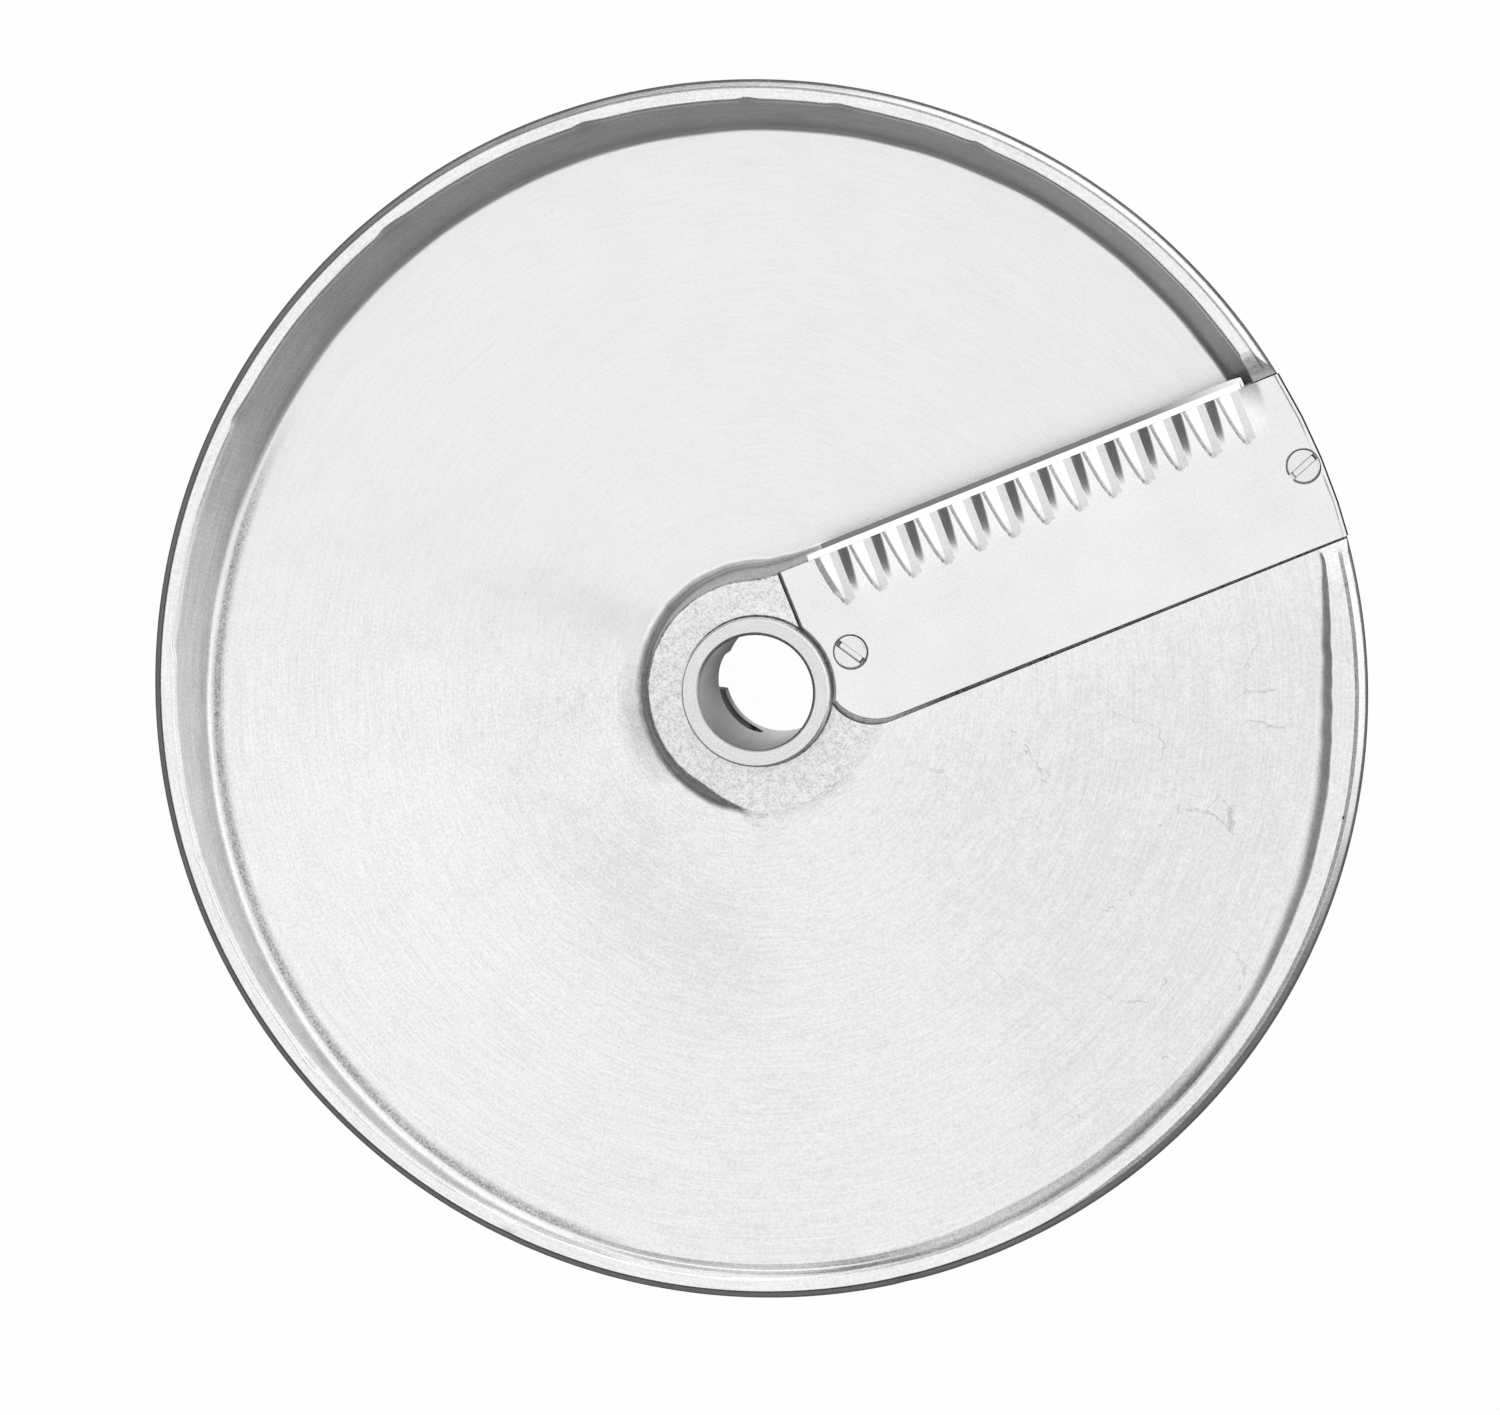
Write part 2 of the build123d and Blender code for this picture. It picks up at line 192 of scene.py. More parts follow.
def casting_section(angle):
    """Zones and points (radius, height) of the casting's section, from the bush seat round and back."""
    floor = web_level(angle)
    zones = []

    # Pad, its brow and its wall down to the dish
    size = pad_fillet(angle) * (1 + wander(angle, *fillet_wander))
    reach = pad_reach(angle) + wander(angle, *pad_wander)
    near_floor = pad_level(angle)
    stand = pad_top - near_floor
    brow = min(pad_brow, stand / 4)
    lift = min(size * (1 - math.sin(cast_draft)), stand - 2 * brow)
    sweep = math.acos(1 - lift / size)
    foot = reach + (stand - size) * math.tan(cast_draft) + size / math.cos(cast_draft)
    edge = (foot - size * math.sin(sweep) - (stand - lift) / math.tan(sweep), pad_top)
    size *= 1 + pad_fade * max(0.0, 1 - stand / pad_fade_height)
    lift = min(lift, size * (1 - math.cos(sweep)))
    sweep = math.acos(1 - lift / size)
    centre = (edge[0] + (stand - lift) / math.tan(sweep) + size * math.sin(sweep), near_floor + size)
    pad_foot = [
        (centre[0] - size * math.sin(turn), centre[1] - size * math.cos(turn))
        for turn in spread(sweep, 0, fillet_steps)
    ]
    wall_start = between(edge, pad_foot[0], brow / (pad_top - pad_foot[0][1]))
    zones.append(("seat", [(bush_seat_radius, pad_top - bush_seat_break)]))
    pad_start = bush_seat_radius + bush_seat_break
    zones.append(("pad", [(radius, pad_top) for radius in spread(pad_start, edge[0] - brow, pad_rings)]))
    zones.append(("brow", eased((edge[0] - brow, pad_top), edge, wall_start, brow_steps)[1:]))
    zones.append(("pad_foot", pad_foot))

    # Rim: fillet, inner wall, lip, land and chamfer
    rise = rim_top - floor
    slope_size = from_stations(toe_stations, angle) * (1 + wander(angle, *toe_wander))
    lift = min(slope_size * (1 - math.sin(rim_inner_draft)), rise - 2 * rim_lip)
    sweep = math.acos(1 - lift / slope_size)
    ragged = max(0.0, 1 - abs(angle - rough_end) / rough_end_run)
    inner = from_stations(rim_stations, angle) + wander(angle, *rim_wander)
    inner += ragged * wander(angle, *rough_end_wander)
    centre = (
        inner - (rise - slope_size) * math.tan(rim_inner_draft) - slope_size / math.cos(rim_inner_draft),
        floor + slope_size,
    )
    toe = [
        (centre[0] + slope_size * math.sin(turn), centre[1] - slope_size * math.cos(turn))
        for turn in spread(0, sweep, fillet_steps)
    ]
    corner = (toe[-1][0] + (rim_top - toe[-1][1]) / math.tan(sweep), rim_top)
    wall_end = between(corner, toe[-1], rim_lip / (rim_top - toe[-1][1]))
    edge = (corner[0] + filed(angle), rim_top)
    lip_start = (wall_end[0] + filed(angle), wall_end[1])
    shoulder = (rim_outer_radius - rim_chamfer, rim_top)
    waist = (rim_outer_radius, rim_top - rim_chamfer)
    wall_lean = math.tan(cast_draft)
    foot_radius = rim_outer_radius - (waist[1] - rim_foot) * wall_lean
    dish = []
    for radius in spread(pad_foot[-1][0], toe[0][0], floor_rings)[1:-1]:
        share = gentle((radius - pad_foot[-1][0]) / pad_lag_run)
        dish.append((radius, near_floor + (floor - near_floor) * share))
    zones.append(("floor", dish))
    zones.append(("toe", toe))
    zones.append(("wall", [between(toe[-1], wall_end, share) for share in wall_shares]))
    zones.append(("land", eased(lip_start, edge, (edge[0] + rim_lip, rim_top), lip_steps)))
    land_start = (edge[0] + rim_lip, rim_top)
    zones.append(("land", [between(land_start, shoulder, share) for share in land_shares]))
    zones.append((
        "land",
        eased(
            between(shoulder, edge, rim_round), shoulder, between(shoulder, waist, rim_round), round_steps
        ),
    ))
    below = (foot_radius, rim_foot)
    zones.append((
        "chamfer",
        eased(
            between(waist, shoulder, rim_turn), waist, between(waist, below, rim_turn_below), chamfer_steps
        ),
    ))
    zones.append(("outside", [between(waist, below, share) for share in outside_shares]))
    zones.append((
        "outside",
        [
            (foot_radius + rim_foot_break * wall_lean, rim_foot + rim_foot_break),
            (foot_radius - rim_foot_break, rim_foot),
        ],
    ))

    # Underside: skirt, bevelled hollow and boss
    under = floor - web_thickness
    skirt = skirt_radius - (under - rim_foot) * wall_lean
    boss = boss_radius + (under - boss_foot) * wall_lean
    bevel_end = (skirt + underside_bevel * wall_lean, under - underside_bevel)
    bevel_start = (skirt - underside_bevel, under)
    if bevel_end[1] < rim_foot + rim_foot_break:
        skirt_foot = between(bevel_start, bevel_end, (under - rim_foot) / underside_bevel)
        bevel_end = between(skirt_foot, bevel_start, 0.5)
    else:
        skirt_foot = (skirt_radius, rim_foot)
    inner_bevel = (boss + underside_bevel, under)
    zones.append(("under", [between((foot_radius - rim_foot_break, rim_foot), skirt_foot, 0.5), skirt_foot]))
    zones.append(("under", [bevel_end, bevel_start]))
    web_shares = spread(0, 1, web_rings)[1:-1]
    zones.append(("web", [between(bevel_start, inner_bevel, share) for share in web_shares]))
    zones.append(("under", [inner_bevel, (boss - underside_bevel * wall_lean, under - underside_bevel)]))
    zones.append((
        "under",
        [
            (boss_radius + rim_foot_break * wall_lean, boss_foot + rim_foot_break),
            (boss_radius - rim_foot_break, boss_foot),
            (bush_seat_radius + bush_seat_break, boss_foot),
            (bush_seat_radius, boss_foot + bush_seat_break),
        ],
    ))
    return [(zone, point) for zone, points in zones for point in points]


# Waves of each zone's skin: depth and waves per millimetre; and nicks in the rim's outer edge: angle,
# radius, half length along the rim and depth
skin_waves = {
    "pad": ((0.03, 0.55), (0.018, 1.1)),
    "brow": ((0.03, 0.55), (0.018, 1.1)),
    "floor": ((0.03, 0.055),),
    "toe": ((0.03, 0.055),),
    "pad_foot": ((0.03, 0.055),),
    "land": ((0.04, 0.12), (0.012, 0.5)),
    "chamfer": ((0.04, 0.12), (0.012, 0.5)),
}
rim_nicks = ((223, 101.4, 1.4, 0.2), (262, 101.8, 1.6, 0.3), (268, 101.7, 1.0, 0.2))
nick_half_width, nick_push = 0.7, 0.4


def hand_worked(zone, angle, radius, height):
    """Point of the casting with the small unevenness of casting, filing and use."""
    turn = math.radians(angle)
    outward = Vector((math.cos(turn), math.sin(turn), 0))
    spot = outward * radius + Vector((0, 0, height))
    for depth, waves in skin_waves.get(zone, ()):
        height += depth * noise.noise(spot * waves)
    if zone in ("land", "chamfer"):
        for nick_angle, nick_radius, half_length, depth in rim_nicks:
            along = math.radians(angle - nick_angle) * radius / half_length
            across = (radius - nick_radius) / nick_half_width
            dent = depth * math.exp(-along ** 2 - across ** 2)
            height -= dent
            if zone == "chamfer":
                radius -= nick_push * dent
    return outward * radius + Vector((0, 0, height))


def solid(name, shape):
    """Object from a closed bmesh in millimetres, with its faces outwards."""
    bmesh.ops.recalc_face_normals(shape, faces=shape.faces)
    bmesh.ops.scale(shape, verts=shape.verts, vec=(MM, MM, MM))
    mesh = bpy.data.meshes.new(name)
    shape.to_mesh(mesh)
    shape.free()
    piece = bpy.data.objects.new(name, mesh)
    scene.collection.objects.link(piece)
    return piece


def bevel(shape, geom, size, affect, segments, clamp=False):
    """Break edges or corners of a shape with a round profile."""
    bmesh.ops.bevel(
        shape,
        geom=geom,
        offset=size,
        offset_type="OFFSET",
        affect=affect,
        segments=segments,
        profile=0.5,
        material=-1,
        clamp_overlap=clamp,
    )


def drawn_out(name, outline, run, rounded=None, eased_edges=()):
    """Solid with a flat outline drawn out along a run; a corner may be rounded, and far edges eased."""
    shape = bmesh.new()
    corners = [shape.verts.new(corner) for corner in outline]
    face = shape.faces.new(corners)
    if rounded:
        corner, size, steps = rounded
        bevel(shape, [corners[corner]], size, "VERTICES", steps)
        face = shape.faces[:][0]
    far = bmesh.ops.extrude_face_region(shape, geom=[face])["geom"]
    far_corners = [item for item in far if isinstance(item, bmesh.types.BMVert)]
    bmesh.ops.translate(shape, verts=far_corners, vec=run)
    top = max(corner.co.z for corner in shape.verts)
    for size, chosen in eased_edges:
        far_edges = [
            edge
            for edge in shape.edges
            if all(corner.co.z == top for corner in edge.verts)
            and chosen((edge.verts[0].co + edge.verts[1].co) / 2)
        ]
        bevel(shape, far_edges, size, "EDGES", 3)
    return solid(name, shape)


def carve(piece, tool, operation):
    """Join a shape to a piece, or cut it away, and drop the shape."""
    step = piece.modifiers.new("carve", "BOOLEAN")
    step.operation = operation
    step.solver = "EXACT"
    step.object = tool
    worn_out = piece.data
    scene_state = bpy.context.evaluated_depsgraph_get()
    piece.data = bpy.data.meshes.new_from_object(piece.evaluated_get(scene_state))
    piece.modifiers.remove(step)
    tool_mesh = tool.data
    bpy.data.objects.remove(tool)
    bpy.data.meshes.remove(tool_mesh)
    bpy.data.meshes.remove(worn_out)
    piece.data.name = piece.name
    return piece


def spin_round(shape, geom, steps):
    """Turn an outline once round the upright axis."""
    bmesh.ops.spin(
        shape, geom=geom, axis=(0, 0, 1), cent=(0, 0, 0), angle=math.tau, steps=steps, use_merge=True
    )


ring = bmesh.new()
order = ring.verts.layers.int.new("order")
corners = []
for index, (zone, (radius, height)) in enumerate(casting_section(0)):
    corner = ring.verts.new((radius, 0, height))
    corner[order] = index
    corners.append(corner)
lines = [ring.edges.new((corner, corners[index - 1])) for index, corner in enumerate(corners)]
spin_round(ring, corners + lines, casting_steps)
sections = [casting_section(360 * step / casting_steps) for step in range(casting_steps)]
for corner in ring.verts:
    step = round(math.atan2(corner.co.y, corner.co.x) / math.tau * casting_steps) % casting_steps
    zone, (radius, height) = sections[step][corner[order]]
    corner.co = hand_worked(zone, 360 * step / casting_steps, radius, height)
casting = solid("dressed_casting", ring)

# Bar under the blade, from the boss to the rim, and the block at its outer end
seat_level, seat_foot, seat_front = 29.5, 23.5, 5.5
bar_start, bar_length = 14, 84.38
bar_profile = ((-15.5, seat_foot), (seat_front, seat_foot), (seat_front, 30), (-15.5, 30))
end_foot, end_height = 17.5, 12.6
end_plan = ((93, -0.4), (98.5, -0.4), (98.5, 17), (93, 17))
bar = drawn_out("seat_bar", [(bar_start, y, z) for y, z in bar_profile], (bar_length, 0, 0))
end_block = drawn_out("seat_end", [(x, y, end_foot) for x, y in end_plan], (0, 0, end_height))
carve(casting, carve(bar, end_block, "UNION"), "UNION")

# Throat below the blade with its undercut seat, and its mouth, whose inner end leans away under the floor
cut_top, cut_foot = 35.5, 10
throat_start, throat_end, throat_front, throat_back = 16.0, 94.4, 17.2, -2
seat_undercut = 4.5
mouth_start, mouth_front, mouth_back = 17.7, 18.6, 12.0
mouth_bend, mouth_lean = 21, 3.6
throat_profile = (
    (throat_front, cut_top), (throat_front, cut_foot), (throat_back, cut_foot), (throat_back, seat_foot),
    (seat_front - seat_undercut, seat_foot), (seat_front, seat_level), (seat_front, cut_top),
)
mouth_profile = (
    (mouth_start, cut_top), (mouth_start, mouth_bend), (mouth_start - mouth_lean, cut_foot),
    (throat_end, cut_foot), (throat_end, cut_top),
)
throat = drawn_out(
    "throat", [(throat_start, y, z) for y, z in throat_profile], (throat_end - throat_start, 0, 0)
)
mouth = drawn_out("mouth", [(x, mouth_back, z) for x, z in mouth_profile], (0, mouth_front - mouth_back, 0))
carve(throat, mouth, "UNION")

# Pocket for the blade, the rim's two ground ends beside it, and the screws' holes
pocket_plan = ((10.45, -13.0), (110, -12.62), (110, 17.25), (10.45, 17.25))
pocket_depth, pocket_corner, pocket_corner_steps = 6.5, 8.6, 12
ground_start, ground_run = 93.4, 20
ground_walls = ((1, 17.0), (-1, 12.7))
ground_curve = (
    (0, 0), (1.2, 0.35), (2.6, 0.85), (4.2, 1.35), (6.2, 1.75), (9, 2.1), (9, 6), (-2, 6), (-2, -0.1),
)
screw_spots = ((16.95, 0.3), (99.3, 1.1))
screw_hole_radius, screw_hole_depth, screw_hole_foot = 1.55, 9, 22.5
pocket = drawn_out(
    "pocket",
    [(x, y, seat_level) for x, y in pocket_plan],
    (0, 0, pocket_depth),
    rounded=(0, pocket_corner, pocket_corner_steps),
)
carve(throat, pocket, "UNION")
for side, wall in ground_walls:
    ground = drawn_out(
        "ground_end",
        [(ground_start, side * (wall + run), pad_top + rise) for run, rise in ground_curve],
        (ground_run, 0, 0),
    )
    carve(throat, ground, "UNION")


def round_tool(name, spot, foot, height, radius, top_radius, segments):
    """Upright round cutter, straight or tapered, at a spot in plan."""
    shape = bmesh.new()
    bmesh.ops.create_cone(
        shape, cap_ends=True, segments=segments, radius1=radius, radius2=top_radius, depth=height
    )
    bmesh.ops.translate(shape, verts=shape.verts, vec=(*spot, foot + height / 2))
    return solid(name, shape)


for place in screw_spots:
    hole = round_tool(
        "screw_hole", place, screw_hole_foot, screw_hole_depth, screw_hole_radius, screw_hole_radius, 24
    )
    carve(throat, hole, "UNION")
carve(casting, throat, "DIFFERENCE")

sharp_edge = 34


def finish_skin(piece, sharp_angle=sharp_edge):
    """Smooth shading that stops at real edges, with flat faces kept flat."""
    piece.data.shade_smooth()
    piece.data.set_sharp_from_angle(angle=math.radians(sharp_angle))
    evened = piece.modifiers.new("even_normals", "WEIGHTED_NORMAL")
    evened.keep_sharp = True


finish_skin(casting)
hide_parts("disc_casting")
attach(casting, "root")


def node(tree, kind, *feeds, **settings):
    """New node in a shader tree, with its settings, and its inputs linked or given a value in order."""
    made = tree.nodes.new("ShaderNode" + kind)
    for name, value in settings.items():
        setattr(made, name, value)
    for socket, feed in zip(made.inputs, feeds):
        if isinstance(feed, bpy.types.NodeSocket):
            tree.links.new(feed, socket)
        elif feed is not None:
            socket.default_value = feed
    return made


def effect(name, inputs, outputs):
    """Empty shader node group with named sockets; gives the group, its inlet and its outlet."""
    group = bpy.data.node_groups.new(name, "ShaderNodeTree")
    for label, kind in inputs:
        group.interface.new_socket(label, in_out="INPUT", socket_type="NodeSocket" + kind)
    for label, kind in outputs:
        group.interface.new_socket(label, in_out="OUTPUT", socket_type="NodeSocket" + kind)
    return group, group.nodes.new("NodeGroupInput").outputs, group.nodes.new("NodeGroupOutput").inputs


def centred(tree, socket):
    """Noise value moved to a mean of nought."""
    return node(tree, "Math", socket, 0.5, operation="SUBTRACT").outputs[0]


# Grain of a metal skin: cloudy patches and fine specks, both round a mean of nought
grain, inlet, outlet = effect(
    "metal_grain",
    (("Place", "Vector"), ("Cloud Scale", "Float"), ("Speck Scale", "Float")),
    (("Cloud", "Float"), ("Speck", "Float")),
)
cloud = node(grain, "TexNoise", inlet["Place"], None, inlet["Cloud Scale"], 3.0, 0.6)
speck = node(grain, "TexNoise", inlet["Place"], None, inlet["Speck Scale"], 1.0, 0.7)
grain.links.new(centred(grain, cloud.outputs["Fac"]), outlet["Cloud"])
grain.links.new(centred(grain, speck.outputs["Fac"]), outlet["Speck"])

# Lines left by turning or brushing round an axis: fine across the radius, long along the arc
turning, inlet, outlet = effect(
    "turning_lines",
    (("Place", "Vector"), ("Lines per Metre", "Float"), ("Breaks per Turn", "Float")),
    (("Lines", "Float"), ("Radius", "Float")),
)
flat = node(turning, "VectorMath", inlet["Place"], (1, 1, 0), operation="MULTIPLY")
radius = node(turning, "VectorMath", flat.outputs[0], operation="LENGTH").outputs["Value"]
heading = node(turning, "VectorMath", flat.outputs[0], operation="NORMALIZE")
broken = node(turning, "VectorMath", heading.outputs[0], operation="SCALE")
turning.links.new(inlet["Breaks per Turn"], broken.inputs["Scale"])
across = node(turning, "Math", radius, inlet["Lines per Metre"], operation="MULTIPLY")
split = node(turning, "SeparateXYZ", broken.outputs[0])
polar = node(turning, "CombineXYZ", split.outputs[0], split.outputs[1], across.outputs[0])
lines = node(turning, "TexNoise", polar.outputs[0], None, 1.0, 2.0, 0.65)
turning.links.new(centred(turning, lines.outputs["Fac"]), outlet["Lines"])
turning.links.new(radius, outlet["Radius"])

# Straight scratches in one direction, thin and broken
deepest_scratch = 0.82
scratching, inlet, outlet = effect(
    "straight_scratches",
    (
        ("Place", "Vector"),
        ("Turn", "Float"),
        ("Spacing Scale", "Float"),
        ("Length Scale", "Float"),
        ("Share", "Float"),
    ),
    (("Scratches", "Float"),),
)
turned_way = node(scratching, "VectorRotate", inlet["Place"], rotation_type="Z_AXIS")
scratching.links.new(inlet["Turn"], turned_way.inputs["Angle"])
parts = node(scratching, "SeparateXYZ", turned_way.outputs[0])
long_way = node(scratching, "Math", parts.outputs[0], inlet["Length Scale"], operation="MULTIPLY")
short_way = node(scratching, "Math", parts.outputs[1], inlet["Spacing Scale"], operation="MULTIPLY")
drawn = node(scratching, "CombineXYZ", long_way.outputs[0], short_way.outputs[0], 0.0)
threads = node(scratching, "TexNoise", drawn.outputs[0], None, 1.0, 1.0, 0.5)
keep = node(scratching, "Math", 1.0, inlet["Share"], operation="SUBTRACT")
cut = node(scratching, "MapRange", threads.outputs["Fac"], keep.outputs[0], deepest_scratch, 0.0, 1.0)
scratching.links.new(cut.outputs["Result"], outlet["Scratches"])


def place_effect(tree, group, place, **values):
    """Node group in a material, reading a place and its own values."""
    made = tree.nodes.new("ShaderNodeGroup")
    made.node_tree = group
    tree.links.new(place, made.inputs["Place"])
    for label, value in values.items():
        made.inputs[label.replace("_", " ")].default_value = value
    return made.outputs


def total(tree, *terms):
    """Sum of weighted values: each term is a socket with its weight."""
    running = None
    for socket, weight in terms:
        if running is None:
            running = node(tree, "Math", socket, weight, operation="MULTIPLY").outputs[0]
        else:
            running = node(tree, "Math", socket, weight, running, operation="MULTIPLY_ADD").outputs[0]
    return running


def shifted(tree, mask, low, high):
    """Value that goes from one level to another with a mask."""
    return node(tree, "MapRange", mask, 0.0, 1.0, low, high).outputs["Result"]


def step_mask(tree, value, start, end):
    """Mask that rises from nought at the start to one at the end."""
    rise = node(tree, "MapRange", value, start, end, 0.0, 1.0, interpolation_type="SMOOTHSTEP")
    return rise.outputs["Result"]


def times(tree, *factors):
    """Product of values."""
    product = factors[0]
    for factor in factors[1:]:
        product = node(tree, "Math", product, factor, operation="MULTIPLY").outputs[0]
    return product


def band_mask(tree, value, start, full, fading, end):
    """Mask that rises to one, stays there, and falls back to nought."""
    return times(tree, step_mask(tree, value, start, full), step_mask(tree, value, end, fading))


def near(tree, value, middle, room):
    """Mask of the values that lie near a middle one."""
    return node(tree, "Math", value, middle, room, operation="COMPARE").outputs[0]


def towards(tree, spot, angle):
    """How far out a spot lies in a direction in plan."""
    turn = math.radians(angle)
    return total(tree, (spot["X"], math.cos(turn)), (spot["Y"], math.sin(turn)))


def metal_surface(name):
    """Metal material with its tree, its shader and the object's own coordinates."""
    material = bpy.data.materials.new(name)
    material.use_nodes = True
    shader = material.node_tree.nodes["Principled BSDF"]
    shader.inputs["Metallic"].default_value = 1.0
    return material, material.node_tree, shader, node(material.node_tree, "TexCoord").outputs


def dress(tree, shader, grey, roughness, height, depth):
    """Feed a metal's grey level, roughness and fine relief to its shader."""
    tint = node(tree, "CombineColor", grey, grey, grey)
    tree.links.new(tint.outputs["Color"], shader.inputs["Base Color"])
    tree.links.new(roughness, shader.inputs["Roughness"])
    relief = node(tree, "Bump")
    relief.inputs["Strength"].default_value = 1.0
    relief.inputs["Distance"].default_value = depth
    tree.links.new(height, relief.inputs["Height"])
    tree.links.new(relief.outputs["Normal"], shader.inputs["Normal"])


brushed_grey, cast_skin_shade_grey, gap_shade_grey, ledge_shade_grey = 0.9, 0.68, 0.14, 0.45
foot_shade_grey, low_foot_shade_grey = 0.42, 0.62
brushed_rough, cast_rough, rim_rough = 0.31, 0.4, 0.26
relief_depth = 0.00003
aluminium, tree, shader, coords = metal_surface("cast_aluminium_satin")
place = coords["Object"]
spot = node(tree, "SeparateXYZ", place).outputs
upright = node(tree, "SeparateXYZ", coords["Normal"]).outputs["Z"]
skin_grain = place_effect(tree, grain, place, Cloud_Scale=95.0, Speck_Scale=2300.0)
pad_grain = place_effect(tree, grain, place, Cloud_Scale=850.0, Speck_Scale=2700.0)
arcs = place_effect(tree, turning, place, Lines_per_Metre=3400.0, Breaks_per_Turn=9.0)
strokes = place_effect(
    tree, scratching, place, Turn=0.95, Spacing_Scale=2600.0, Length_Scale=70.0, Share=0.4
)["Scratches"]

# Where the skin is raw from the mould on steep walls, which are also painted darker as their shade; where it
# is dressed on the rim and grainy on the pad; and the blade's gap, painted dark as shade
facing_up = step_mask(tree, upright, 0.0, 0.1)
rim_height = step_mask(tree, spot["Z"], 0.0318, 0.0324)
steep = step_mask(tree, upright, 0.93, 0.6)
# The fillet at the pad's foot keeps raw cast skin, and is also painted darker as shade
pad_foot_skin_and_shade = times(
    tree, step_mask(tree, upright, 0.988, 0.91), step_mask(tree, arcs["Radius"], 0.0265, 0.0225)
)
on_rim = times(tree, step_mask(tree, arcs["Radius"], 0.0962, 0.0985), rim_height)
cast_skin_and_shade = times(tree, steep, shifted(tree, on_rim, 1.0, 0.0))
ragged_radius = total(tree, (skin_grain["Cloud"], 0.018), (arcs["Radius"], 1.0))
on_pad = times(
    tree, step_mask(tree, ragged_radius, 0.0235, 0.0185), step_mask(tree, spot["Z"], 0.0306, 0.0313)
)
# Painted shade: faces at the seat's level along the blade's gap are painted dark
in_shaded_gap = times(
    tree,
    near(tree, spot["Z"], 0.0295, 0.0004),
    near(tree, spot["Y"], 0.0017, 0.0159),
    node(tree, "Math", spot["X"], 0.0095, operation="GREATER_THAN").outputs[0],
)

# Toe of the rim's fillet: a grainy band beside the slope, then a pair of painted shade lines, then one
# painted shade line behind the blade; and a painted shade ring near the rim's outer edge, which widens in one
# direction
slope_way, pair_start_way, pair_end_way, back_way, ring_way = 200, 320, 352, 280, 325
toe_line = total(tree, (arcs["Radius"], 1.0), (spot["Z"], -0.37))
past_slope = step_mask(tree, towards(tree, spot, pair_start_way), -0.008, 0.012)
in_toe = times(
    tree,
    band_mask(tree, toe_line, 0.0834, 0.0849, 0.0854, 0.0858),
    step_mask(tree, towards(tree, spot, slope_way), 0.025, 0.055),
    shifted(tree, past_slope, 1.0, 0.0),
    facing_up,
)
# Painted shade: two dark lines in the fillet, with an undarkened line between them
pair_shade_outline = band_mask(tree, toe_line, 0.0849, 0.0851, 0.0863, 0.0864)
toe_shade_pair = times(
    tree,
    total(tree, (pair_shade_outline, 1.0), (near(tree, toe_line, 0.08587, 0.00009), -1.0)),
    past_slope,
    step_mask(tree, towards(tree, spot, pair_end_way), 0.008, -0.008),
    facing_up,
)
# Painted shade: one dark line at the fillet's toe behind the blade
back_toe_shade = times(
    tree,
    step_mask(tree, upright, 0.995, 0.965),
    step_mask(tree, arcs["Radius"], 0.0997, 0.0993),
    step_mask(tree, towards(tree, spot, back_way), 0.0855, 0.095),
    facing_up,
)
# Painted shade: a dark ring on the land near the rim's outer edge, wider on one side
ring_side = step_mask(tree, towards(tree, spot, ring_way), 0.066, 0.080)
ring_line = shifted(tree, ring_side, 0.10115, 0.10070)
ring_half = shifted(tree, ring_side, 0.00017, 0.00033)
shade_ring = times(tree, near(tree, arcs["Radius"], ring_line, ring_half), rim_height)

# Cold flow lines of the cast metal on the high floor, a painted shade patch beside the hub, and a few pits
warp = node(tree, "TexNoise", place, None, 240.0, 3.0, 0.6)
swayed = node(tree, "VectorMath", warp.outputs["Color"], (0.006, 0.006, 0.0), place, operation="MULTIPLY_ADD")
cells = node(tree, "TexVoronoi", swayed.outputs[0], None, 62.0, feature="DISTANCE_TO_EDGE")
high_floor = times(tree, step_mask(tree, spot["Y"], -0.012, -0.026), step_mask(tree, spot["X"], 0.004, 0.03))
flow_lines = times(
    tree,
    high_floor,
    step_mask(tree, skin_grain["Cloud"], 0.03, 0.1),
    step_mask(tree, cells.outputs["Distance"], 0.010, 0.004),
)
# Painted shade: a darker patch on the floor beside the hub
shade_by_hub = times(
    tree,
    step_mask(tree, arcs["Radius"], 0.065, 0.035),
    step_mask(tree, spot["X"], -0.006, -0.03),
    step_mask(tree, spot["Y"], 0.026, 0.008),
)
hollows = node(tree, "TexVoronoi", place, None, 95.0)
chosen = node(tree, "SeparateColor", hollows.outputs["Color"]).outputs[0]
pits = times(
    tree,
    step_mask(tree, hollows.outputs["Distance"], 0.05, 0.028),
    node(tree, "Math", chosen, 0.84, operation="GREATER_THAN").outputs[0],
)

# The low floor in front of the blade was rubbed smoother than the rest
rubbed = shifted(tree, step_mask(tree, spot["Z"], 0.0197, 0.0225), 0.45, 1.0)
# Brushed floors, with steep walls darker: raw cast skin and painted shade
brushed = shifted(tree, cast_skin_and_shade, brushed_grey, cast_skin_shade_grey)
# Painted shade at the pad's foot: darker towards +Y, lighter towards -Y
foot_shade_tone = shifted(tree, step_mask(tree, spot["Y"], 0.006, -0.012), foot_shade_grey, low_foot_shade_grey)
with_foot_shade = node(tree, "Mix", pad_foot_skin_and_shade, None, brushed, foot_shade_tone).outputs[0]
# Painted shade in the blade's gap: dark grey, lighter towards the hub end
gap_shade_tone = shifted(tree, step_mask(tree, spot["X"], 0.016, 0.030), ledge_shade_grey, gap_shade_grey)
with_gap_shade = node(tree, "Mix", in_shaded_gap, None, with_foot_shade, gap_shade_tone).outputs[0]
texture = total(tree, (skin_grain["Speck"], 0.42), (arcs["Lines"], 0.30), (strokes, 0.07))
